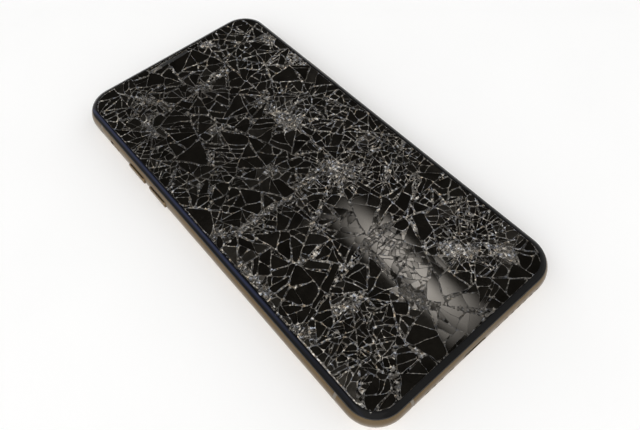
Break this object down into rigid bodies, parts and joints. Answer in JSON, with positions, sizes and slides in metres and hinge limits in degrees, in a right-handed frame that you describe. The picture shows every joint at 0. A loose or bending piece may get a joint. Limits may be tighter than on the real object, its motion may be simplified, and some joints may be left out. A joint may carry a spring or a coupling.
{
  "type": "shattered screen phone",
  "caption": "Slab phone with a rounded metal band, side keys, card tray and charging socket, its front glass shattered into a web of cracks.",
  "frame": {"origin": "under the middle of the phone, on the plane that the camera rim touches when the phone lies on its back", "axes": "+X to the right as one faces the screen, +Y to the top end with the earpiece, +Z out of the screen"},
  "size_m": [0.0718, 0.1436, 0.0088],
  "materials": {
    "shattered_glass": "polished black glass broken into fragments, with pale fracture faces",
    "display_panel": "black, switched off",
    "black_plastic": "satin black",
    "gold_steel": "polished gold-brown coating on steel",
    "antenna_plastic": "matte, near the colour of the band",
    "rear_glass": "gloss pale gold, back-painted",
    "clear_window": "clear, dark behind",
    "flash_window": "frosted",
    "steel": "bare",
    "copper": "enamelled copper wire",
    "ferrite": "matte sheet",
    "circuit_board": "solder resist",
    "battery_foil": "wrapped cell",
    "adhesive": "soft strip",
    "flex_film": "thin film"
  },
  "bodies": {
    "phone_body": {"cover_glass": "shattered_glass", "display_panel": "display_panel", "display_bezel": "black_plastic", "camera_module": "black_plastic", "ring_switch_base": "black_plastic", "speaker_mesh": "black_plastic", "microphone_mesh": "black_plastic", "loudspeaker": "black_plastic", "earpiece_speaker": "black_plastic", "earpiece_mesh": "black_plastic", "front_camera": "black_plastic", "band_left": "gold_steel", "band_right": "gold_steel", "band_top": "gold_steel", "band_top_corner": "gold_steel", "band_bottom": "gold_steel", "band_bottom_corner": "gold_steel", "camera_rim": "gold_steel", "antenna_break_left_lower": "antenna_plastic", "antenna_break_left_upper": "antenna_plastic", "antenna_break_right_lower": "antenna_plastic", "antenna_break_right_upper": "antenna_plastic", "antenna_break_bottom": "antenna_plastic", "antenna_break_top": "antenna_plastic", "rear_glass": "rear_glass", "camera_window_upper": "clear_window", "camera_window_lower": "clear_window", "flash_window": "flash_window", "display_backplate": "steel", "chassis_plate": "steel", "card_reader": "steel", "charge_port": "steel", "bottom_screw_left": "steel", "bottom_screw_right": "steel", "vibration_motor": "steel", "board_screw_1": "steel", "board_screw_2": "steel", "board_screw_3": "steel", "board_screw_4": "steel", "shield_upper": "steel", "shield_lower": "steel", "sensor_bar": "steel", "charging_coil": "copper", "coil_ferrite": "ferrite", "main_board": "circuit_board", "battery": "battery_foil", "display_gasket": "adhesive", "battery_strip_left": "adhesive", "battery_strip_right": "adhesive", "volume_switch_plate": "flex_film", "side_switch_plate": "flex_film", "port_flex": "flex_film", "display_flex": "flex_film"},
    "volume_up": {"volume_up_button": "gold_steel"},
    "volume_down": {"volume_down_button": "gold_steel"},
    "side_key": {"side_button": "gold_steel"},
    "ring_lever": {"ring_switch": "gold_steel"},
    "tray": {"card_tray": "gold_steel"}
  },
  "joints": [
    {"name": "volume_up_press", "type": "slide", "parent": "phone_body", "child": "volume_up", "axis": [1, 0, 0], "range_m": [0, 0.0003], "stiffness_N_per_m": 2000},
    {"name": "volume_down_press", "type": "slide", "parent": "phone_body", "child": "volume_down", "axis": [1, 0, 0], "range_m": [0, 0.0003], "stiffness_N_per_m": 2000},
    {"name": "side_key_press", "type": "slide", "parent": "phone_body", "child": "side_key", "axis": [-1, 0, 0], "range_m": [0, 0.0003], "stiffness_N_per_m": 2000},
    {"name": "ring_switch_slide", "type": "slide", "parent": "phone_body", "child": "ring_lever", "axis": [0, 0, 1], "range_m": [0, 0.0012]},
    {"name": "tray_slide", "type": "slide", "parent": "phone_body", "child": "tray", "axis": [1, 0, 0], "range_m": [0, 0.02]}
  ]
}
